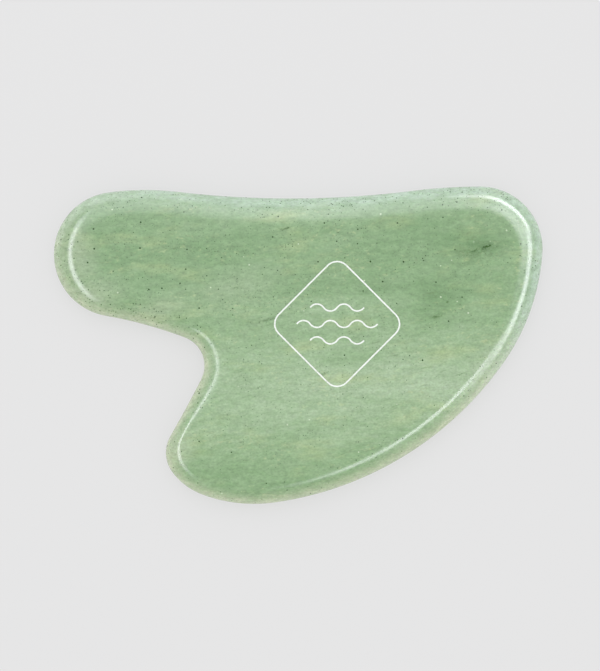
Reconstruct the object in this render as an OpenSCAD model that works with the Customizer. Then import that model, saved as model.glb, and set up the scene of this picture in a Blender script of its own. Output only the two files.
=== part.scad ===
// Gua sha scraper: a flat plate of carved and polished stone with a fully rounded edge.
// The outline is one closed chain of tangent arcs, listed counter-clockwise from the heel.
// The plate lies on its back face: +X along its length, +Y towards the finger tab's side,
// +Z up through its thickness, with the origin in the middle of the back face.

/* [Plate] */
// Overall length of the plate
plate_l = 90; // [88:0.5:94]
// Thickness of the plate
plate_t = 6; // [4.5:0.5:7]
// Width of the rounded rim, from the edge to the flat face
rim_w = 4.4; // [3.6:0.1:4.6]
// Radius of the nose, the outermost part of the rim
rim_nose_r = 1.6; // [1:0.1:2]

/* [Heel] */
// Radius of the upper right corner
heel_r = 11.5; // [10:0.5:13]
// Height of the heel's centre
heel_y = 17.7; // [16:0.1:19]

/* [Finger tab] */
// Radius of the round tab at the upper left
tab_r = 11.5; // [10:0.5:12]
// Height of the tab's centre
tab_y = 16.7; // [16:0.1:18]

/* [Upper edge] */
// Radius of the crest beside the heel
crest_r = 100; // [80:5:120]
// Radius of the shallow hollow in the middle
back_r = 180; // [160:5:220]
// Radius of the shoulder beside the tab
shoulder_r = 50; // [45:1:55]
// Direction of the point where the shoulder meets the tab
shoulder_a = 98; // [96:1:100]

/* [Notch] */
// Radius of the notch between tab and toe
notch_r = 5.5; // [5:0.5:6]
// Left-right place of the notch's centre
notch_x = -22.8; // [-24:0.1:-22]
// Height of the notch's centre
notch_y = -3.8; // [-4.5:0.1:-3]
// Radius of the hollow under the tab
under_r = 80; // [60:5:100]
// Radius of the hollow above the toe
flank_r = 240; // [200:10:300]

/* [Toe] */
// Radius of the blunt toe at the lower left
toe_r = 6; // [5.8:0.1:6.4]
// Left-right place of the toe's centre
toe_x = -18.4; // [-19:0.1:-18]
// Height of the toe's centre
toe_y = -19.8; // [-20:0.1:-19.5]

/* [Lower edge] */
// Radius of the stretch that follows the toe
sole_r = 12; // [11:0.5:13]
// Direction of the point where the toe meets the sole
sole_a = 216; // [213:1:219]
// Radius of the lowest stretch
keel_r = 27; // [25:1:29]
// Direction of the point where the sole meets the keel
keel_a = 249; // [247:1:251]
// Radius of the long scraping edge
belly_r = 62; // [58:1:66]
// Radius of the right side, below the heel
side_r = 40; // [36:1:44]
// Direction of the point where the side meets the heel
side_a = -4; // [-6:1:-2]

/* [Mark] */
// Distance from the mark's centre to each point of its lozenge
mark_r = 12.4; // [10:0.1:14]
// Radius of the lozenge's rounded corners
mark_corner_r = 2.4; // [1.5:0.1:3]
// Left-right place of the mark's centre
mark_x = 7.1; // [5:0.1:9]
// Height of the mark's centre
mark_y = 3.9; // [2:0.1:6]
// Width of the engraved lines
line_w = 0.28; // [0.24:0.02:0.6]
// Depth of the engraved lines
line_d = 0.15; // [0.1:0.01:0.3]
// Number of waves in the lozenge
wave_count = 3; // [1:2:3]
// Distance between waves
wave_gap = 3; // [2.6:0.1:3.4]
// Radius of each bend in a wave
wave_r = 1.5; // [1.2:0.1:1.7]
// Half the angle that each bend sweeps
wave_a = 55; // [40:1:60]

/* [Hidden] */

// A circle is [x, y, r]. Its r is negative where the stone lies outside the circle, in a hollow.
function dir(a) = [cos(a), sin(a)];
function middle(c) = [c.x, c.y];

// Circle of radius r touching circle c where the outward direction is a
function nested(c, r, a) = let (m = middle(c) + (c[2] - r) * dir(a)) [m.x, m.y, r];

// Circle of radius r touching circles p and q, between them on the way from p to q
function bridge(p, q, r) =
    let (
        span = norm(middle(q) - middle(p)),
        along = (middle(q) - middle(p)) / span,
        side = [-along.y, along.x],
        to_p = abs(r - p[2]),
        to_q = abs(r - q[2]),
        foot = (to_p ^ 2 - to_q ^ 2 + span ^ 2) / (2 * span),
        rise = sqrt(to_p ^ 2 - foot ^ 2) * sign(r),
        m = middle(p) + foot * along + rise * side
    )
    [m.x, m.y, r];

heel = [plate_l / 2 - heel_r, heel_y, heel_r];
tab = [tab_r - plate_l / 2, tab_y, tab_r];
crest = nested(heel, crest_r, 90);
shoulder = nested(tab, shoulder_r, shoulder_a);
back = bridge(crest, shoulder, -back_r);
notch = [notch_x, notch_y, -notch_r];
under = bridge(tab, notch, -under_r);
toe = [toe_x, toe_y, toe_r];
flank = bridge(notch, toe, -flank_r);
sole = nested(toe, sole_r, sole_a);
keel = nested(sole, keel_r, keel_a);
side = nested(heel, side_r, side_a);
belly = bridge(keel, side, belly_r);
outline = [heel, crest, back, shoulder, tab, under, notch, flank, toe, sole, keel, belly, side];
count = len(outline);

// Outward direction at the point where circle i hands over to the next one
function handover(i) =
    let (
        p = outline[i % count],
        q = outline[(i + 1) % count],
        v = (middle(q) - middle(p)) / (p[2] - q[2])
    )
    atan2(v.y, v.x);

// Angle that arc i sweeps: positive round the stone's own corners, negative in a hollow
function sweep(i) =
    let (turn = (handover(i) - handover(i + count - 1)) * sign(outline[i][2]))
    (turn - 360 * floor(turn / 360)) * sign(outline[i][2]);

// Stations along the outline, each a circle and an outward direction. They stand at most
// station_turn degrees and about station_gap apart.
station_turn = 4;
station_gap = 4;
function arc_length(i) = abs(outline[i][2] * sweep(i)) * PI / 180;
function arc_stations(i) =
    let (steps = ceil(max(abs(sweep(i)) / station_turn, arc_length(i) / station_gap)))
    [for (k = [0:steps - 1]) [outline[i], handover(i + count - 1) + sweep(i) * k / steps]];
stations = [for (i = [0:count - 1]) each arc_stations(i)];

// Point at station s, set in from the edge by inset
function inset_point(s, inset) = middle(s[0]) + (s[0][2] - inset) * dir(s[1]);

// The plate's own middle, taken from the arcs that reach furthest each way
top_y = max(heel.y + heel_r, shoulder.y + shoulder_r);
low_y = keel.y - keel_r;
plate_middle = [0, (top_y + low_y) / 2, 0];

// A place on the flat face from which every point of its edge is in plain sight
hub = [-2, 7.5];

// The rim's profile has an upper and a lower bevel arc, both tangent to a small nose circle
half_t = plate_t / 2;
bevel_r = (rim_w ^ 2 + half_t ^ 2 - 2 * rim_w * rim_nose_r) / (2 * (half_t - rim_nose_r));
bevel_a = acos((bevel_r - half_t) / (bevel_r - rim_nose_r));
bevel_steps = 5;
nose_steps = 2;

// Upper half of the profile, from the flat face out to the nose's tip, which is the origin
upper_rim = concat(
    [for (k = [0:bevel_steps])
        [-rim_w, half_t - bevel_r] + bevel_r * dir(90 - bevel_a * k / bevel_steps)],
    [for (k = [1:nose_steps])
        [-rim_nose_r, 0] + rim_nose_r * dir((90 - bevel_a) * (1 - k / nose_steps))]
);
lower_rim = [for (k = [len(upper_rim) - 2:-1:0]) [upper_rim[k].x, -upper_rim[k].y]];
rim_points = concat(upper_rim, lower_rim);

// The lozenge is a square with rounded corners, standing on one of them. Its outline here
// runs at distance out from the middle of the engraved line.
corner_steps = 6;
function lozenge_points(out) = [
    for (corner = [0:90:270])
    for (k = [0:corner_steps])
    (mark_r - mark_corner_r * sqrt(2)) * dir(corner)
        + (mark_corner_r + out) * dir(corner - 45 + 90 * k / corner_steps)
];

// A wave is a chain of bends, each the mirror image of the last. Its side here runs at
// distance out above the middle of the engraved line.
bend_l = 2 * wave_r * sin(wave_a);
bend_steps = 10;
function bend_point(k, n, turn, out) =
    let (
        up = k % 2 == 0 ? 1 : -1,
        p = (wave_r + up * out) * dir(turn) - [0, wave_r * cos(wave_a)]
    )
    [(k + 0.5 - n / 2) * bend_l + p.x, up * p.y];
function wave_side(n, out) = [
    for (k = [0:n - 1])
    for (step = [(k == 0 ? 0 : 1):bend_steps])
    bend_point(k, n, 90 + wave_a - 2 * wave_a * step / bend_steps, out)
];
function wave_points(n) =
    let (low = wave_side(n, -line_w / 2))
    concat(wave_side(n, line_w / 2), [for (i = [len(low) - 1:-1:0]) low[i]]);

// The longest wave lies in the middle, and each one further out has two bends fewer
middle_bends = 6;
mid_wave = (wave_count - 1) / 2;
cut_clear = 1;

// The whole plate: the rim's profile at every station, closed by fans round one hub on each face
module plate() {
    n = len(rim_points);
    m = len(stations);
    polyhedron(
        points = concat(
            [
                for (s = stations)
                for (p = rim_points)
                let (q = inset_point(s, -p.x))
                [q.x, q.y, half_t + p.y]
            ],
            [for (z = [plate_t, 0]) [hub.x, hub.y, z]]
        ),
        faces = [
            for (i = [0:m - 1])
            let (next = (i + 1) % m)
            each concat(
                [for (k = [0:n - 2]) [i * n + k, next * n + k, next * n + k + 1, i * n + k + 1]],
                [[m * n, next * n, i * n], [m * n + 1, (i + 1) * n - 1, (next + 1) * n - 1]]
            )
        ]
    );
}

// The mark's lozenge, in lines of height h
module border_lines(h) {
    linear_extrude(h)
        difference() {
            polygon(lozenge_points(line_w / 2));
            polygon(lozenge_points(-line_w / 2));
        }
}

// All the waves, with the longest in the middle
module wave_lines(h) {
    for (row = [0:wave_count - 1])
        translate([0, (row - mid_wave) * wave_gap, 0])
            linear_extrude(h)
                polygon(wave_points(middle_bends - 2 * abs(row - mid_wave)));
}

// Places the mark's lines in the front face, down to the depth of the engraving
module at_mark() {
    translate([mark_x, mark_y, plate_t - line_d])
        children();
}

module stone_blade() {
    color([0.61, 0.71, 0.57])
        difference() {
            translate(-plate_middle)
                plate();
            at_mark() {
                border_lines(line_d + cut_clear);
                wave_lines(line_d + cut_clear);
            }
        }
}

module mark_border_fill() {
    color([0.95, 0.96, 0.94])
        at_mark()
            border_lines(line_d);
}

module mark_wave_fill() {
    color([0.95, 0.96, 0.94])
        at_mark()
            wave_lines(line_d);
}

stone_blade();
mark_border_fill();
mark_wave_fill();
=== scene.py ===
# Gua sha scraper: a polished green stone plate with an engraved and painted mark.
import math

import bmesh
import bpy
import numpy as np
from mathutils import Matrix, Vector, noise
from mathutils.geometry import delaunay_2d_cdt


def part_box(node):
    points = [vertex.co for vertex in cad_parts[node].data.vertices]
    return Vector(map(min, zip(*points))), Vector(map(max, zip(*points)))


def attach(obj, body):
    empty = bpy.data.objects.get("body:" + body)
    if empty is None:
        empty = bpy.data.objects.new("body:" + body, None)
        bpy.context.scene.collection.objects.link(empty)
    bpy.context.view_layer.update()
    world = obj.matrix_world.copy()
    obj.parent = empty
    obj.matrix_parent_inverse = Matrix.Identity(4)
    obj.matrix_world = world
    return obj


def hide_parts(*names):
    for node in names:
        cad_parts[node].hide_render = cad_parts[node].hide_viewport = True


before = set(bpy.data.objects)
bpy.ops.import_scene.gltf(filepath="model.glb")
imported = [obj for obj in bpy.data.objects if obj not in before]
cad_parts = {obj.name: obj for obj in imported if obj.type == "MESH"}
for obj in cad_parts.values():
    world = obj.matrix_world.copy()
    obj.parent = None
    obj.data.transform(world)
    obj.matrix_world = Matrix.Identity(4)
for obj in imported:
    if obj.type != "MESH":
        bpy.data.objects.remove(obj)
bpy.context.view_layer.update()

MM = 0.001

# The plate's places, all from the frame, in metres
stone_low, stone_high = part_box("stone_blade")
border_low, border_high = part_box("mark_border_fill")
MIDDLE_Z = (stone_low.z + stone_high.z) / 2
HALF_SIZE = (stone_high - stone_low) / 2
GROOVE_DEPTH = border_high.z - border_low.z

# The rounded rim: its width, the share that it gains on a corner of RIM_TURN's radius and
# loses in such a hollow, the length over which that eases, and how finely it is divided
RIM_W = 4.7 * MM
RIM_SHARE = 0.15
RIM_TURN = 6.0 * MM
RIM_EASE = 4.0 * MM
RIM_RINGS = 22

# The flank between the notch and the toe has a narrower rim: its place as shares of the
# plate's half length and half width, its reach, and the share of the width that it loses
FLANK = (-0.51, -0.52)
FLANK_REACH = 8.0 * MM
FLANK_SHARE = 0.46

# Spacing of the points along the plate's outline
OUTLINE_STEP = 0.36 * MM

# Flat faces: the spacing of the points inside, and how far these keep from the face's edge
FACE_STEP = 1.0 * MM
FACE_MARGIN = 0.5 * MM

# The waviness that hand polishing leaves: its height, its length, and how far from the noise's
# middle each face's waves are cut, so that the two faces differ
WAVE_HEIGHT = 0.035 * MM
WAVE_LENGTH = 14 * MM
WAVE_SHIFT = 3.7

# The mark's lines: the spacing of the points along them, how far a face's own points keep from
# them, and the height and length of their raggedness
LINE_STEP = 0.12 * MM
LINE_MARGIN = 0.25 * MM
LINE_ROUGH = 0.03 * MM
LINE_ROUGH_LENGTH = 0.5 * MM

# The paint: how far it lies below the stone's face, and above the groove's floor
PAINT_SINK = 0.03 * MM
PAINT_CLEAR = 0.01 * MM

# How near to each other points are joined, in a CAD mesh and in a finished piece, how near to
# a level they count as on it, and the least angle of an edge that stays sharp, in degrees
CAD_WELD = 0.002 * MM
PIECE_WELD = 0.0005 * MM
LEVEL_NEAR = 0.005 * MM
SHARP_ANGLE = 40.0

# How a face is filled with triangles: the kind that fills the whole hull of its points, and
# how near to each other points count as one, in millimetres
FILL_KIND = 0
FILL_NEAR = 1e-6


# ---------------------------------------------------------------- outlines


def ordered_loops(edges):
    """Closed loops of points from a list of edges, each a pair of point keys."""
    links = {}
    for a, b in edges:
        links.setdefault(a, []).append(b)
        links.setdefault(b, []).append(a)
    loops = []
    left = dict.fromkeys(links)
    while left:
        start = next(iter(left))
        loop = [start]
        del left[start]
        while True:
            onward = [k for k in links[loop[-1]] if k in left]
            if not onward:
                break
            loop.append(onward[0])
            del left[onward[0]]
        loops.append(loop)
    return loops


def welded(node):
    """A copy of a CAD node's mesh with its doubled points joined."""
    mesh = bmesh.new()
    mesh.from_mesh(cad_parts[node].data)
    bmesh.ops.remove_doubles(mesh, verts=mesh.verts, dist=CAD_WELD)
    return mesh


def counter_clockwise(points):
    """The closed loop of points, turned to run counter-clockwise."""
    x, y = points[:, 0], points[:, 1]
    area = np.sum(x * np.roll(y, -1) - y * np.roll(x, -1))
    return points if area > 0 else points[::-1]


def loops_of(mesh, edges):
    """The closed loops that edges make, as arrays of x and y."""
    pairs = [(e.verts[0].index, e.verts[1].index) for e in edges]
    mesh.verts.ensure_lookup_table()
    return [
        counter_clockwise(np.array([mesh.verts[i].co.xy for i in loop]))
        for loop in ordered_loops(pairs)
        if len(loop) > 2
    ]


def at_level(part, level):
    """Whether all points of an edge or a face lie at one height."""
    return all(abs(v.co.z - level) < LEVEL_NEAR for v in part.verts)


def widest_outline():
    """The plate's outline at mid thickness."""
    mesh = welded("stone_blade")
    mesh.verts.index_update()
    edges = [e for e in mesh.edges if at_level(e, MIDDLE_Z)]
    outline = max(loops_of(mesh, edges), key=len)
    mesh.free()
    return outline


def line_outlines(node):
    """The outlines of a painted line's front face."""
    mesh = welded(node)
    mesh.verts.index_update()
    top = max(v.co.z for v in mesh.verts)
    edges = [e for e in mesh.edges if sum(at_level(f, top) for f in e.link_faces) == 1]
    outlines = loops_of(mesh, edges)
    mesh.free()
    return outlines


def spans_of(points):
    """The distance from each point of a closed loop to the next."""
    return np.linalg.norm(np.roll(points, -1, 0) - points, axis=1)


def even_places(spans, step):
    """Where along a closed loop its points lie, and even places about step apart."""
    ends = np.concatenate([[0], np.cumsum(spans)])
    return ends, np.linspace(0, ends[-1], round(ends[-1] / step), endpoint=False)


def spline_bends(points, spans):
    """The second derivatives, at its points, of the closed cubic spline through points."""
    count = len(points)
    system = np.zeros((count, count))
    right = np.zeros((count, 2))
    for i in range(count):
        before, after = spans[i - 1], spans[i]
        last, following = points[i - 1], points[(i + 1) % count]
        system[i, i - 1] += before
        system[i, i] += 2 * (before + after)
        system[i, (i + 1) % count] += after
        right[i] = 6 * ((following - points[i]) / after - (points[i] - last) / before)
    return np.linalg.solve(system, right)


def smooth_closed(points, step):
    """Points about step apart on the closed cubic spline through points."""
    count = len(points)
    spans = spans_of(points)
    bends = spline_bends(points, spans)
    ends, places = even_places(spans, step)
    segment = np.clip(np.searchsorted(ends, places, side="right") - 1, 0, count - 1)
    onward = (segment + 1) % count
    width = spans[segment][:, None]
    b = (places - ends[segment])[:, None] / width
    a = 1 - b
    straight = a * points[segment] + b * points[onward]
    curve = ((a**3 - a) * bends[segment] + (b**3 - b) * bends[onward]) * width**2 / 6
    return straight + curve


def even_closed(points, step):
    """Points about step apart on the closed chain of straight lines through points."""
    closed = np.vstack([points, points[:1]])
    ends, places = even_places(spans_of(points), step)
    return np.column_stack([np.interp(places, ends, closed[:, k]) for k in range(2)])


def outward(points):
    """Unit vectors that point out of a counter-clockwise closed loop."""
    along = np.roll(points, -1, 0) - np.roll(points, 1, 0)
    along /= np.linalg.norm(along, axis=1)[:, None]
    return np.column_stack([along[:, 1], -along[:, 0]])


def ragged(points, seed):
    """A painted line's outline with the small irregularities of its edge."""
    push = [
        LINE_ROUGH * noise.noise(Vector((x / LINE_ROUGH_LENGTH, y / LINE_ROUGH_LENGTH, seed)))
        for x, y in points
    ]
    return points + outward(points) * np.array(push)[:, None]


def inside(places, loops):
    """Which places lie inside an odd number of the closed loops."""
    x, y = places[:, 0][:, None], places[:, 1][:, None]
    odd = np.zeros(len(places), bool)
    for loop in loops:
        x0, y0 = loop[:, 0], loop[:, 1]
        x1, y1 = np.roll(x0, -1), np.roll(y0, -1)
        spans = (y0 <= y) != (y1 <= y)
        rise = np.where(y1 == y0, 1, y1 - y0)
        crosses = spans & (x < x0 + (y - y0) * (x1 - x0) / rise)
        odd ^= np.sum(crosses, axis=1) % 2 == 1
    return odd


# ---------------------------------------------------------------- the stone


def eased_bends(outline):
    """How sharply the outline bends at each point, eased along it: below 0 in a hollow."""
    before = outline - np.roll(outline, 1, 0)
    after = np.roll(outline, -1, 0) - outline
    turn = before[:, 0] * after[:, 1] - before[:, 1] * after[:, 0]
    bend = turn / np.linalg.norm(after, axis=1) ** 3
    reach = round(2 * RIM_EASE / OUTLINE_STEP)
    offsets = np.arange(-reach, reach + 1)
    weights = np.exp(-((offsets * OUTLINE_STEP / RIM_EASE) ** 2))
    return sum(w * np.roll(bend, k) for k, w in zip(offsets, weights)) / weights.sum()


def rim_widths(outline):
    """The rim's width at each point: wider round corners, narrower in the notch and flank."""
    wider = RIM_SHARE * np.clip(eased_bends(outline) * RIM_TURN, -1, 1)
    flank = np.array([FLANK[0] * HALF_SIZE.x, FLANK[1] * HALF_SIZE.y])
    off = np.linalg.norm(outline - flank, axis=1) / FLANK_REACH
    narrower = FLANK_SHARE * np.exp(-(off**2))
    return RIM_W * (1 + wider - narrower)


def rim_rings():
    """The rim's rings: each one's share of the rim's width, and of the half thickness."""
    turns = np.linspace(0, math.pi / 2, RIM_RINGS + 1)
    return [(1 - math.cos(turn), math.sin(turn)) for turn in turns]


def waviness(x, y, face):
    """The slight unevenness of a polished face, which never rises above its level."""
    place = Vector((x / WAVE_LENGTH, y / WAVE_LENGTH, WAVE_SHIFT * face))
    return WAVE_HEIGHT * (noise.noise(place) - 1) / 2


def face_points(edge, lines):
    """Evenly spread points inside a face's edge, clear of the edge and of the lines."""
    low, high = edge.min(0), edge.max(0)
    rows = np.arange(low[1], high[1], FACE_STEP * math.sqrt(3) / 2)
    grid = np.array(
        [
            (x + FACE_STEP / 2 * (row % 2), y)
            for row, y in enumerate(rows)
            for x in np.arange(low[0], high[0], FACE_STEP)
        ]
    )
    grid = grid[inside(grid, [edge])]
    for fence, margin in [(edge, FACE_MARGIN)] + [(line, LINE_MARGIN) for line in lines]:
        gap = np.full(len(grid), np.inf)
        for point in fence:
            gap = np.minimum(gap, np.hypot(*(grid - point).T))
        grid = grid[gap > margin]
    return grid


def face_triangles(edge, lines):
    """Points and triangles that fill a face, keeping the edge and every line as edges."""
    loops = [edge] + lines
    points = np.vstack(loops + [face_points(edge, lines)])
    joins = []
    first = 0
    for loop in loops:
        size = len(loop)
        joins += [(first + i, first + (i + 1) % size) for i in range(size)]
        first += size
    flat = [Vector(p / MM) for p in points]
    made, _, faces, *_ = delaunay_2d_cdt(flat, joins, [], FILL_KIND, FILL_NEAR)
    made = np.array([tuple(p) for p in made]) * MM
    faces = np.array(faces)
    centres = made[faces].mean(1)
    return made, faces[inside(centres, [edge])]


def add_wall(mesh, lower, upper):
    """Joins two matching closed rows of points with a wall."""
    for i in range(len(lower)):
        j = (i + 1) % len(lower)
        mesh.faces.new((lower[i], lower[j], upper[j], upper[i]))


def add_rim(mesh, outline, side):
    """Adds half of the rounded rim on one side, and gives its inner edge's places."""
    inward = -outward(outline) * rim_widths(outline)[:, None]
    rows = []
    for across, up in rim_rings():
        level = HALF_SIZE.z * up
        rows.append(
            [
                mesh.verts.new((x, y, MIDDLE_Z + side * (level + up * waviness(x, y, side))))
                for x, y in outline + inward * across
            ]
        )
    for outer, inner in zip(rows, rows[1:]):
        add_wall(mesh, outer, inner)
    return outline + inward


def add_face(mesh, points, triangles, side, sink=0.0):
    """Adds a face's triangles at the plate's surface, or sunk below it."""
    verts = [
        mesh.verts.new((x, y, MIDDLE_Z + side * (HALF_SIZE.z + waviness(x, y, side) - sink)))
        for x, y in points
    ]
    for a, b, c in triangles:
        mesh.faces.new((verts[a], verts[b], verts[c]))


def add_line_wall(mesh, loop, low_sink, high_sink):
    """Adds the upright wall along a line's outline, between two depths below the face."""
    rows = [
        [mesh.verts.new((x, y, stone_high.z + waviness(x, y, 1) - sink)) for x, y in loop]
        for sink in (low_sink, high_sink)
    ]
    add_wall(mesh, *rows)


def finished(mesh, name):
    """Turns the mesh into a piece with joined points, outward faces and no loose points."""
    bmesh.ops.remove_doubles(mesh, verts=mesh.verts, dist=PIECE_WELD)
    loose = [v for v in mesh.verts if not v.link_faces]
    bmesh.ops.delete(mesh, geom=loose, context="VERTS")
    bmesh.ops.recalc_face_normals(mesh, faces=mesh.faces)
    for face in mesh.faces:
        face.smooth = True
    for edge in mesh.edges:
        if len(edge.link_faces) == 2 and edge.calc_face_angle(0) > math.radians(SHARP_ANGLE):
            edge.smooth = False
    data = bpy.data.meshes.new(name)
    mesh.to_mesh(data)
    mesh.free()
    piece = bpy.data.objects.new(name, data)
    bpy.context.scene.collection.objects.link(piece)
    return piece


def make_stone(outline, lines):
    """The stone plate: rounded rim, polished faces and engraved grooves.

    It also gives the front face's points and triangles, which the paint follows.
    """
    mesh = bmesh.new()
    edge = add_rim(mesh, outline, -1)
    points, triangles = face_triangles(edge, [])
    add_face(mesh, points, triangles, -1)
    edge = add_rim(mesh, outline, 1)
    points, triangles = face_triangles(edge, lines)
    engraved = inside(points[triangles].mean(1), lines)
    add_face(mesh, points, triangles[~engraved], 1)
    add_face(mesh, points, triangles[engraved], 1, GROOVE_DEPTH)
    for loop in lines:
        add_line_wall(mesh, loop, GROOVE_DEPTH, 0)
    return finished(mesh, "polished_stone"), points, triangles


def make_paint(name, loops, points, triangles):
    """The paint in one figure's grooves."""
    mesh = bmesh.new()
    painted = triangles[inside(points[triangles].mean(1), loops)]
    add_face(mesh, points, painted, 1, PAINT_SINK)
    add_face(mesh, points, painted, 1, GROOVE_DEPTH - PAINT_CLEAR)
    for loop in loops:
        add_line_wall(mesh, loop, GROOVE_DEPTH - PAINT_CLEAR, PAINT_SINK)
    return finished(mesh, name)


# ---------------------------------------------------------------- materials


class Nodes:
    """A node tree, with a short call for each kind of node."""

    def __init__(self, tree):
        self.tree = tree

    def node(self, kind):
        return self.tree.nodes.new("ShaderNode" + kind)

    def link(self, source, socket):
        """Feeds a socket from another one, or sets it to a plain number or colour."""
        if isinstance(source, bpy.types.NodeSocket):
            self.tree.links.new(source, socket)
        elif socket.type == "RGBA":
            socket.default_value = (*source, 1)
        else:
            socket.default_value = source

    def math(self, operation, a, b=0.0):
        node = self.node("Math")
        node.operation = operation
        self.link(a, node.inputs[0])
        self.link(b, node.inputs[1])
        return node.outputs[0]

    def times(self, a, b):
        return self.math("MULTIPLY", a, b)

    def swing(self, value, depth, middle=0.5):
        """How far value lies from middle, times depth."""
        return self.times(self.math("SUBTRACT", value, middle), depth)

    def smooth(self, value, low, high, to_low=0.0, to_high=1.0):
        """A smooth step from to_low to to_high as value goes from low to high."""
        node = self.node("MapRange")
        node.interpolation_type = "SMOOTHSTEP"
        for socket, number in zip(node.inputs, (value, low, high, to_low, to_high)):
            self.link(number, socket)
        return node.outputs["Result"]

    def mix(self, share, a, b, kind="RGBA"):
        """What lies between a and b, which are colours or, with kind VALUE, numbers."""
        node = self.node("Mix")
        node.data_type = "RGBA" if kind == "RGBA" else "FLOAT"
        ends = [s for s in node.inputs if s.type == kind and s.name in ("A", "B")]
        self.link(share, node.inputs[0])
        self.link(a, ends[0])
        self.link(b, ends[1])
        return next(s for s in node.outputs if s.type == kind)

    def scaled(self, vector, factor):
        node = self.node("VectorMath")
        node.operation = "SCALE"
        self.link(vector, node.inputs[0])
        self.link(factor, node.inputs["Scale"])
        return node.outputs["Vector"]

    def split(self, vector):
        """A vector's parts, as sockets named X, Y and Z."""
        node = self.node("SeparateXYZ")
        self.link(vector, node.inputs[0])
        return node.outputs

    def ramp(self, value, stops):
        """A colour that goes through the stops as value goes from 0 to 1."""
        node = self.node("ValToRGB")
        self.link(value, node.inputs[0])
        ramp = node.color_ramp
        ramp.interpolation = "B_SPLINE"
        while len(ramp.elements) < len(stops):
            ramp.elements.new(1.0)
        for element, (position, colour) in zip(ramp.elements, stops):
            element.position = position
            element.color = (*colour, 1)
        return node.outputs["Color"]


class Shader(Nodes):
    """A new material and its nodes. Every place and size in it is in millimetres."""

    def __init__(self, name):
        self.material = bpy.data.materials.new(name)
        self.material.use_nodes = True
        super().__init__(self.material.node_tree)
        self.tree.nodes.clear()
        self.surface = self.node("BsdfPrincipled")
        output = self.node("OutputMaterial")
        self.link(self.surface.outputs[0], output.inputs["Surface"])
        place = self.node("TexCoord").outputs["Object"]
        self.place = self.scaled(place, 1 / MM)

    def set(self, name, value):
        self.link(value, self.surface.inputs[name])

    def turned(self, turn, stretch=1.0, seed=0.0):
        """The place, turned about Z and squeezed along the turned X by stretch."""
        node = self.node("Mapping")
        node.vector_type = "TEXTURE"
        self.link(self.place, node.inputs["Vector"])
        self.link((seed, seed, seed), node.inputs["Location"])
        self.link((0, 0, math.radians(turn)), node.inputs["Rotation"])
        self.link((stretch, 1, 1), node.inputs["Scale"])
        return node.outputs["Vector"]

    def noise(self, size, seed, turn=0.0, stretch=1.0, detail=2.0, roughness=0.5, warp=0.0):
        """Soft noise with features of this size, drawn out by stretch along turn."""
        node = self.node("TexNoise")
        self.link(self.turned(turn, stretch, seed), node.inputs["Vector"])
        self.link(1 / size, node.inputs["Scale"])
        self.link(detail, node.inputs["Detail"])
        self.link(roughness, node.inputs["Roughness"])
        self.link(warp, node.inputs["Distortion"])
        return node.outputs["Fac"]

    def layered(self, size, seed, stretch, **how):
        """Noise that is drawn out along the stone's layers."""
        return self.noise(size, seed, LAYER_TURN, stretch, **how)

    def specks(self, spacing, radius, faintest, share, closeness, seed):
        """Round specks, some faint and some strong, in a share of the cells of that spacing.

        The share is multiplied by closeness, which may differ from place to place.
        """
        node = self.node("TexVoronoi")
        self.link(self.turned(0.0, seed=seed), node.inputs["Vector"])
        self.link(1 / spacing, node.inputs["Scale"])
        draw = self.split(node.outputs["Color"])
        widest = radius / spacing
        size = self.smooth(draw["Y"], 0.0, 1.0, widest / 2, widest)
        spot = self.smooth(self.math("DIVIDE", node.outputs["Distance"], size), 1.0, 0.75)
        strength = self.smooth(draw["Z"], 0.0, 1.0, faintest, 1.0)
        held = self.math("LESS_THAN", draw["X"], self.times(closeness, share))
        return self.times(self.times(spot, strength), held)

    def bump(self, height, distance):
        node = self.node("Bump")
        self.link(height, node.inputs["Height"])
        self.link(distance, node.inputs["Distance"])
        self.set("Normal", node.outputs["Normal"])


def linear(red, green, blue):
    """A colour given as it looks on a screen, 0 to 255, as scene-linear values."""
    return tuple(
        c / 255 / 12.92 if c <= 10 else ((c / 255 + 0.055) / 1.055) ** 2.4
        for c in (red, green, blue)
    )


# Half the plate's size in millimetres, which the materials' places are in
HALF_MM = HALF_SIZE / MM

# The stone's colours, each at its place on the scale of tones from deepest green to creamiest,
# the colours of what lies in the stone, and those of the hazes, partly painted glow, and of the
# rim's painted glow
STONE_TONES = (
    (0.0, linear(106, 141, 96)),
    (0.3, linear(132, 163, 121)),
    (0.6, linear(149, 176, 138)),
    (1.0, linear(181, 199, 172)),
)
WARM_COLOUR = linear(176, 190, 138)
FLECK_COLOUR = linear(196, 206, 158)
STREAK_COLOUR = linear(108, 134, 92)
VEIN_COLOUR = linear(44, 84, 14)
# Milky haze on the face. Beside the rim's highlights it is a painted glow
HAZE_AND_GLOW_COLOUR = linear(186, 196, 172)
# Painted glow of the thin rim: light through and mirrored by the edge, warm below and cool
# above
PAINTED_RIM_WARM = linear(204, 209, 182)
PAINTED_RIM_COOL = linear(201, 220, 206)
SPECK_DARK = linear(34, 72, 18)
SPECK_PALE = linear(206, 220, 192)
PAINT_WHITE = linear(228, 234, 226)
PAINT_WORN = linear(198, 210, 192)

# How much of each shows where it is strongest. The rim's painted glow's is from its weakest to
# its strongest
WARM_SHARE = 0.42
FLECK_SHARE = 0.36
STREAK_SHARE = 0.4
RIM_SHARES = (0.4, 0.72)
FINE_SPECK_SHARE = 0.95
PALE_SPECK_SHARE = 0.75

# Between which values of its noise each one goes from none to full, or from its least to its
# greatest. Groups of flecks and of streaks come and go in a second, wider noise
WARM_ONSET = (0.5, 0.8)
FLECK_ONSET = (0.55, 0.78)
FLECK_GROUPS = (0.42, 0.6)
STREAK_ONSET = (0.62, 0.74)
STREAK_GROUPS = (0.52, 0.68)
RIM_ONSET = (0.3, 0.7)
CLUMP_ONSET = (0.36, 0.64)
WORN_ONSET = (0.5, 0.75)
ROUGHNESS_ONSET = (0.2, 0.8)

# The stone's layers: how far they rise towards the heel, in degrees, and how far they bend
LAYER_TURN = 4.0
LAYER_BEND = 9.0

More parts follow.
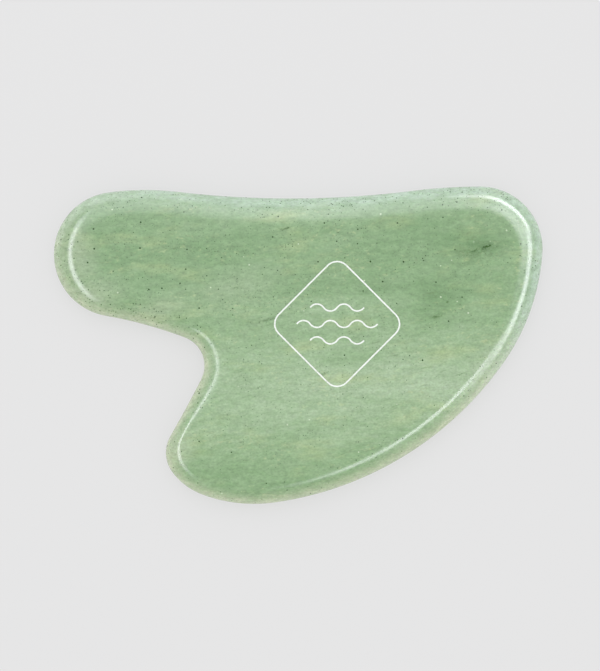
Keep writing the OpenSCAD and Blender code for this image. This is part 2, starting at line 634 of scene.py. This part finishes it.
# The tone that the patches start from, and how far the layers, the mottling in them and the
# fine grain swing it
TONE_BASE = 0.34
LAYER_DEPTH = 0.36
MOTTLE_DEPTH = 0.34
GRAIN_DEPTH = 0.44

# Soft patches in the layers: place and reach as shares of the plate's half length and half
# width, and how much each lightens (or darkens) the stone. The band along the top edge is
# painted sheen
PATCHES = (
    (0.05, -0.30, 1.60, 0.72, 0.34),
    (0.10, 0.20, 0.90, 0.16, 0.10),
    (0.60, -0.31, 0.40, 0.24, 0.19),
    (0.72, 0.55, 0.24, 0.15, -0.26),
    (0.58, 0.20, 0.20, 0.25, -0.18),
    (0.22, -0.13, 0.22, 0.14, -0.16),
    (0.33, 0.27, 0.15, 0.12, -0.14),
    (-0.50, 0.75, 0.90, 0.30, -0.16),
    # Painted sheen: a lighter band just inside the top edge, standing in for the softboxes'
    # reflection in the face
    (-0.20, 0.79, 1.00, 0.18, 0.15),
    (0.42, 0.60, 0.30, 0.22, -0.10),
)

# Spots, each with its length turned by SPOT_TURN, in degrees: place as shares of the plate's
# half length and half width, half length and half width in millimetres, and strength
SPOT_TURN = 16.0
VEINS = (
    (0.765, 0.618, 1.6, 0.38, 1.60),
    (0.735, 0.598, 3.0, 0.42, 0.90),
    (0.740, 0.590, 8.0, 3.00, 0.28),
    (0.560, 0.180, 2.0, 0.60, 0.60),
    (0.605, 0.270, 0.4, 0.35, 0.90),
    (-0.05, 0.730, 1.8, 0.40, 0.60),
    (-0.12, 0.160, 4.8, 0.40, 0.45),
    (-0.25, 0.360, 1.0, 0.40, 0.60),
    (0.100, -0.18, 2.0, 0.40, 0.40),
)
# Pale milky spots on the face. Those at the toe, by the tab's left end and by the heel are
# painted glow, standing in for light beside the rim's highlights
HAZES_AND_GLOWS = (
    (-0.55, -0.66, 8.0, 6.5, 0.65),
    (-0.90, 0.27, 12.0, 6.0, 0.55),
    (-0.60, 0.20, 12.0, 4.0, 0.35),
    (-0.26, 0.36, 14.0, 5.0, 0.22),
    (-0.91, 0.55, 6.0, 11.0, 0.40),
    (0.82, -0.18, 8.0, 10.0, 0.35),
)

# More such spots, where the polish is duller, in the notch and along the flank. Their strength
# is the roughness that they add
DULL_SPOTS = (
    (-0.40, -0.14, 9.0, 9.0, 0.16),
    (-0.49, -0.42, 5.5, 6.5, 0.12),
)

# The veins are broken up by a noise: between which of its values they go from their weakest to
# full, and how strong they are at their weakest
VEIN_ONSET = (0.36, 0.56)
VEIN_LEAST = 0.15

# Specks: each kind's spacing, greatest radius, faintest strength and share of places that hold
# one
DARK_SPECKS = (1.2, 0.2, 1.0, 0.14)
FINE_SPECKS = (0.42, 0.14, 0.3, 0.2)
PALE_SPECKS = (1.0, 0.2, 0.3, 0.05)

# The dark and fine specks lie closest at the upper left. Their share's factor goes through
# CROWD_RANGE as the height on the plate, less CROWD_TILT times the distance to the right, goes
# through CROWD_SPAN. Clumps of them vary it once more, through CLUMP_RANGE
CROWD_TILT = 0.3
CROWD_SPAN = (-25.0, 30.0)
CROWD_RANGE = (0.5, 2.4)
CLUMP_RANGE = (0.35, 1.7)

# The rim's painted glow, standing in for light through and mirrored by its thin edge, is warm
# along the plate's lower side and cool along its upper side. It changes as the height, plus
# GLOW_TILT times the distance to the right, goes through GLOW_SPAN
GLOW_TILT = 0.3
GLOW_SPAN = (-8.0, 26.0)

# Where each painted glow ends, and where it is full, as shares of the way from mid thickness to
# a face
WARM_GLOW = (0.94, 0.45)
COOL_GLOW = (1.0, 0.6)

# The stone's roughness, from its smoothest smear to its dullest, and its refractive index
POLISH_ROUGHNESS = (0.09, 0.17)
STONE_IOR = 1.54

# Light that scatters inside the stone: its share, how far its red, green and blue go relative
# to one another, and how far the farthest goes
SCATTER_SHARE = 0.3
SCATTER_REACH = (0.7, 1.0, 0.6)
SCATTER_SCALE = 1.2 * MM

# The paint's roughness, from its smoothest to its most worn
PAINT_ROUGHNESS = (0.38, 0.6)

# How deep the surfaces' fine relief is, and the share of it by which dark specks are pitted
RELIEF = 0.01 * MM
PIT_SHARE = 0.5


def ellipse(shader, place, middle, reach):
    """A soft ellipse of the given reach: 1 at its middle, falling to 0 at its edge."""
    squares = []
    for k in range(2):
        off = shader.math("DIVIDE", shader.math("SUBTRACT", place[k], middle[k]), reach[k])
        squares.append(shader.times(off, off))
    return shader.smooth(shader.math("SQRT", shader.math("ADD", *squares)), 1.0, 0.0)


def spots(shader, places):
    """How strongly a place is covered by the spot that covers it most."""
    turn = math.radians(SPOT_TURN)
    parts = shader.split(shader.turned(SPOT_TURN))
    total = 0.0
    for x, y, reach_x, reach_y, strength in places:
        along = x * HALF_MM.x * math.cos(turn) + y * HALF_MM.y * math.sin(turn)
        up = y * HALF_MM.y * math.cos(turn) - x * HALF_MM.x * math.sin(turn)
        spot = ellipse(shader, (parts["X"], parts["Y"]), (along, up), (reach_x, reach_y))
        total = shader.math("MAXIMUM", total, shader.times(spot, strength))
    return total


def layers(shader):
    """A place's distances along and across the stone's layers, bent by a slow drift."""
    drift = shader.layered(7.0, seed=11.0, stretch=4.0)
    parts = shader.split(shader.turned(LAYER_TURN))
    return parts["X"], shader.math("ADD", parts["Y"], shader.swing(drift, LAYER_BEND))


def tone_with_sheen(shader, place):
    """How light the stone is, from its patches, one of them a painted sheen along the top edge,
    and the mottling of its layers.
    """
    tone = TONE_BASE
    for x, y, reach_x, reach_y, lift in PATCHES:
        middle = (x * HALF_MM.x, y * HALF_MM.y)
        reach = (reach_x * HALF_MM.x, reach_y * HALF_MM.y)
        patch = ellipse(shader, place, middle, reach)
        tone = shader.math("ADD", tone, shader.times(patch, lift))
    layer = shader.layered(3.2, seed=3.0, stretch=5.0, detail=3.0, roughness=0.55, warp=0.3)
    mottle = shader.layered(0.9, seed=5.0, stretch=2.6, warp=0.2)
    tone = shader.math("ADD", tone, shader.swing(layer, LAYER_DEPTH))
    return shader.math("ADD", tone, shader.swing(mottle, MOTTLE_DEPTH))


def flecks(shader):
    """Small pale yellowish flecks, drawn out along the layers."""
    field = shader.layered(0.6, seed=67.0, stretch=1.8, roughness=0.6, warp=0.5)
    group = shader.layered(5.0, seed=71.0, stretch=3.0, detail=1.0)
    group = shader.smooth(group, *FLECK_GROUPS)
    return shader.times(shader.smooth(field, *FLECK_ONSET), group)


def streaks(shader):
    """Short dark streaks that rise across the layers, in scattered groups."""
    field = shader.noise(0.45, seed=23.0, turn=14.0, stretch=7.0)
    group = shader.noise(4.0, seed=29.0, turn=8.0, stretch=3.0, detail=1.0)
    group = shader.smooth(group, *STREAK_GROUPS)
    return shader.times(shader.smooth(field, *STREAK_ONSET), group)


def veins(shader):
    """Short dark veins, broken up by the grain around them."""
    rough = shader.noise(0.4, seed=61.0, turn=SPOT_TURN, stretch=1.5, roughness=0.7)
    strength = shader.smooth(rough, *VEIN_ONSET, VEIN_LEAST, 1.0)
    return shader.times(spots(shader, VEINS), strength)


def grain(shader):
    """How much the stone's fine grain brightens or darkens it, around 1."""
    fine = shader.noise(0.32, seed=7.0, stretch=1.4, detail=1.0)
    coarse = shader.layered(0.7, seed=19.0, stretch=1.8, roughness=0.6)
    both = shader.math("ADD", fine, coarse)
    return shader.math("ADD", shader.swing(both, GRAIN_DEPTH, middle=1.0), 1.0)


def painted_rim_glow(shader):
    """How strongly the painted glow covers the thin rim, and whether it is warm (0) or cool
    (1).
    """
    parts = shader.split(shader.place)
    off = shader.math("ABSOLUTE", shader.math("SUBTRACT", parts["Z"], MIDDLE_Z / MM))
    share = shader.math("DIVIDE", off, HALF_MM.z)
    upward = shader.math("ADD", shader.times(parts["X"], GLOW_TILT), parts["Y"])
    cool = shader.smooth(upward, *GLOW_SPAN)
    start, full = [shader.smooth(cool, 0.0, 1.0, *ends) for ends in zip(WARM_GLOW, COOL_GLOW)]
    return shader.smooth(share, start, full), cool


def inner_colour(shader, place):
    """The stone's own colour: its layers with warm patches, pale flecks and dark streaks."""
    colour = shader.ramp(tone_with_sheen(shader, place), STONE_TONES)
    warm = shader.layered(4.0, seed=17.0, stretch=3.0, detail=3.0, roughness=0.6)
    warm = shader.smooth(warm, *WARM_ONSET)
    colour = shader.mix(shader.times(warm, WARM_SHARE), colour, WARM_COLOUR)
    colour = shader.mix(shader.times(flecks(shader), FLECK_SHARE), colour, FLECK_COLOUR)
    return shader.mix(shader.times(streaks(shader), STREAK_SHARE), colour, STREAK_COLOUR)


def with_painted_glows(shader, colour):
    """The colour with milky hazes on the face, partly painted glow beside the rim's highlights,
    and with the painted pale glow of the thin rim.
    """
    glow, cool = painted_rim_glow(shader)
    # Pale hazes, partly painted glow beside the rim's highlights, kept off the rim
    haze_and_glow = shader.times(spots(shader, HAZES_AND_GLOWS), shader.math("SUBTRACT", 1.0, glow))
    colour = shader.mix(haze_and_glow, colour, HAZE_AND_GLOW_COLOUR)
    patchy = shader.layered(1.1, seed=73.0, stretch=2.0, detail=3.0, roughness=0.6)
    # Painted glow on the rim: the pale colour is mixed in towards the thin edge
    share = shader.times(glow, shader.smooth(patchy, *RIM_ONSET, *RIM_SHARES))
    return shader.mix(share, colour, shader.mix(cool, PAINTED_RIM_WARM, PAINTED_RIM_COOL))


def crowd(shader, place):
    """How closely the dark specks lie: their share's factor at a place."""
    upper_left = shader.math("SUBTRACT", place[1], shader.times(place[0], CROWD_TILT))
    clump = shader.layered(4.5, seed=79.0, stretch=1.6)
    clump = shader.smooth(clump, *CLUMP_ONSET, *CLUMP_RANGE)
    return shader.times(shader.smooth(upper_left, *CROWD_SPAN, *CROWD_RANGE), clump)


def speckled(shader, place, colour):
    """The colour with its specks, and how strongly the larger dark ones cover each place."""
    closeness = crowd(shader, place)
    dark = shader.specks(*DARK_SPECKS, closeness, seed=31.0)
    fine = shader.specks(*FINE_SPECKS, closeness, seed=37.0)
    pale = shader.specks(*PALE_SPECKS, 1.0, seed=41.0)
    colour = shader.mix(shader.times(pale, PALE_SPECK_SHARE), colour, SPECK_PALE)
    cover = shader.math("MAXIMUM", dark, shader.times(fine, FINE_SPECK_SHARE))
    return shader.mix(cover, colour, SPECK_DARK), dark


def stone_material():
    """Polished, slightly translucent green stone with soft layers, grain and specks."""
    shader = Shader("green_stone")
    place = layers(shader)
    colour = with_painted_glows(shader, inner_colour(shader, place))
    colour = shader.mix(veins(shader), colour, VEIN_COLOUR)
    colour, dark = speckled(shader, place, colour)
    shader.set("Base Color", shader.scaled(colour, grain(shader)))

    smear = shader.noise(2.0, seed=43.0, turn=30.0, stretch=4.0, detail=3.0)
    smear = shader.smooth(smear, *ROUGHNESS_ONSET, *POLISH_ROUGHNESS)
    shader.set("Roughness", shader.math("ADD", smear, spots(shader, DULL_SPOTS)))
    shader.set("IOR", STONE_IOR)
    shader.set("Subsurface Weight", SCATTER_SHARE)
    shader.set("Subsurface Radius", SCATTER_REACH)
    shader.set("Subsurface Scale", SCATTER_SCALE)
    polish = shader.noise(6.0, seed=47.0, detail=1.0)
    shader.bump(shader.math("SUBTRACT", polish, shader.times(dark, PIT_SHARE)), RELIEF)
    return shader.material


def paint_material():
    """White paint wiped into the engraved lines, a little thin and uneven."""
    shader = Shader("white_inlay")
    cover = shader.noise(0.35, seed=53.0, detail=3.0, roughness=0.6)
    worn = shader.smooth(cover, *WORN_ONSET)
    shader.set("Base Color", shader.mix(worn, PAINT_WHITE, PAINT_WORN))
    shader.set("Roughness", shader.smooth(cover, *ROUGHNESS_ONSET, *PAINT_ROUGHNESS))
    shader.bump(cover, RELIEF)
    return shader.material


# ---------------------------------------------------------------- studio

# The floor: its half size in metres, its distance below the plate, how much light it throws
# back, and how much it gives
FLOOR_HALF = 6.0
FLOOR_GAP = 0.02 * MM
FLOOR_ALBEDO = 0.16
FLOOR_GLOW = 0.6

# The surround: what the camera sees, what lights the plate, and what its polish mirrors
BACKDROP = linear(230, 230, 230)[0]
WORLD_LIGHT = 1.05
WORLD_MIRRORED = 0.25

# Each lamp: name, azimuth and angle from straight up in degrees, width and length in metres,
# radiance, and whether it lights the plate or is only mirrored in its polish. All stand at one
# distance from the plate, in metres, and LAMP_CORE is the share of their width and of their
# length that is fully bright
LAMP_DISTANCE = 0.6
LAMP_CORE = 0.2
LAMP_COLOUR = (1.0, 0.97, 1.08)
LAMPS = (
    ("overhead_softbox", 100.0, 26.0, 0.75, 0.75, 1.2, True),
    ("top_softbox", 92.0, 58.0, 0.80, 1.00, 1.0, False),
    ("upper_softbox", 98.0, 29.0, 0.54, 1.10, 1.6, False),
    ("left_strip", 182.0, 35.0, 0.20, 1.10, 7.3, False),
    ("lower_strip", -49.0, 34.0, 0.15, 0.56, 7.5, False),
    ("heel_strip", -3.0, 46.0, 0.24, 0.70, 9.5, False),
    ("crest_strip", 50.0, 53.0, 0.20, 0.80, 14.0, False),
    ("heel_glow", 32.0, 32.0, 0.42, 0.54, 5.3, False),
)

# Camera: the height that its picture spans at the plate's mid thickness, its place over the
# plate, and its lens and sensor in millimetres
VIEW_HEIGHT = 123.6 * MM
CAMERA_X = 0.32 * MM
CAMERA_Y = 1.79 * MM
CAMERA_LENS = 100.0
CAMERA_SENSOR = 36.0


def soften(lamp):
    """Makes a lamp fade from its middle to its edges, as a softbox does."""
    lamp.use_nodes = True
    nodes = Nodes(lamp.node_tree)
    place = nodes.split(nodes.node("NewGeometry").outputs["Parametric"])
    level = 1.0
    for side in ("X", "Y"):
        off = nodes.math("ABSOLUTE", nodes.math("SUBTRACT", place[side], 0.5))
        level = nodes.times(level, nodes.smooth(off, 0.5, LAMP_CORE / 2))
    nodes.link(level, lamp.node_tree.nodes["Emission"].inputs["Strength"])


def add_lamp(name, azimuth, polar, width, length, radiance, lights):
    """A rectangular lamp that faces the plate, its length running around the plate."""
    lamp = bpy.data.lights.new(name, "AREA")
    lamp.shape = "RECTANGLE"
    lamp.size = length
    lamp.size_y = width
    lamp.energy = radiance * math.pi * width * length
    lamp.color = LAMP_COLOUR
    soften(lamp)
    around = math.radians(azimuth)
    tilt = math.radians(polar)
    flat = math.sin(tilt)
    away = Vector((flat * math.cos(around), flat * math.sin(around), math.cos(tilt)))
    holder = bpy.data.objects.new(name, lamp)
    holder.location = Vector((0, 0, MIDDLE_Z)) + away * LAMP_DISTANCE
    holder.rotation_euler = away.to_track_quat("Z", "Y").to_euler()
    holder.visible_camera = False
    holder.visible_diffuse = lights
    bpy.context.scene.collection.objects.link(holder)


def add_world():
    """A pale surround: backdrop grey to the camera, and a gentle fill for everything else."""
    world = bpy.data.worlds.new("pale_surround")
    world.use_nodes = True
    nodes = Nodes(world.node_tree)
    ray = nodes.node("LightPath").outputs
    level = nodes.mix(ray["Is Glossy Ray"], WORLD_LIGHT, WORLD_MIRRORED, "VALUE")
    level = nodes.mix(ray["Is Camera Ray"], level, BACKDROP, "VALUE")
    back = world.node_tree.nodes["Background"]
    nodes.link(level, back.inputs["Strength"])
    nodes.link((1, 1, 1), back.inputs["Color"])
    bpy.context.scene.world = world


def floor_material():
    """A plain pale floor that partly glows, so that shadows on it stay faint."""
    shader = Shader("pale_floor")
    shader.set("Base Color", (FLOOR_ALBEDO,) * 3)
    shader.set("Roughness", 0.9)
    shader.set("Specular IOR Level", 0.0)
    shader.set("Emission Color", (1, 1, 1))
    shader.set("Emission Strength", FLOOR_GLOW)
    return shader.material


def add_floor():
    """The floor that the plate lies on."""
    data = bpy.data.meshes.new("floor")
    level = stone_low.z - FLOOR_GAP
    corners = [
        (x * FLOOR_HALF, y * FLOOR_HALF, level) for x, y in ((-1, -1), (1, -1), (1, 1), (-1, 1))
    ]
    data.from_pydata(corners, [], [(0, 1, 2, 3)])
    data.materials.append(floor_material())
    floor = bpy.data.objects.new("floor", data)
    bpy.context.scene.collection.objects.link(floor)


def add_camera():
    """A camera straight above the plate."""
    data = bpy.data.cameras.new("camera")
    data.lens = CAMERA_LENS
    data.sensor_width = CAMERA_SENSOR
    camera = bpy.data.objects.new("camera", data)
    height = MIDDLE_Z + VIEW_HEIGHT * CAMERA_LENS / CAMERA_SENSOR
    camera.location = (CAMERA_X, CAMERA_Y, height)
    bpy.context.scene.collection.objects.link(camera)
    bpy.context.scene.camera = camera


# ---------------------------------------------------------------- assembly


def dress(piece, node, material):
    """Gives a piece its material, and lets it stand for its CAD node."""
    piece.data.materials.append(material)
    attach(piece, "root")
    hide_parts(node)


outline = smooth_closed(widest_outline(), OUTLINE_STEP)
border = [ragged(even_closed(p, LINE_STEP), 1) for p in line_outlines("mark_border_fill")]
waves = [ragged(even_closed(p, LINE_STEP), 2) for p in line_outlines("mark_wave_fill")]
stone, points, triangles = make_stone(outline, border + waves)
dress(stone, "stone_blade", stone_material())
white = paint_material()
for name, node, lines in (
    ("border_paint", "mark_border_fill", border),
    ("wave_paint", "mark_wave_fill", waves),
):
    dress(make_paint(name, lines, points, triangles), node, white)

add_floor()
add_world()
for lamp in LAMPS:
    add_lamp(*lamp)
add_camera()
bpy.context.scene.view_settings.view_transform = "Standard"
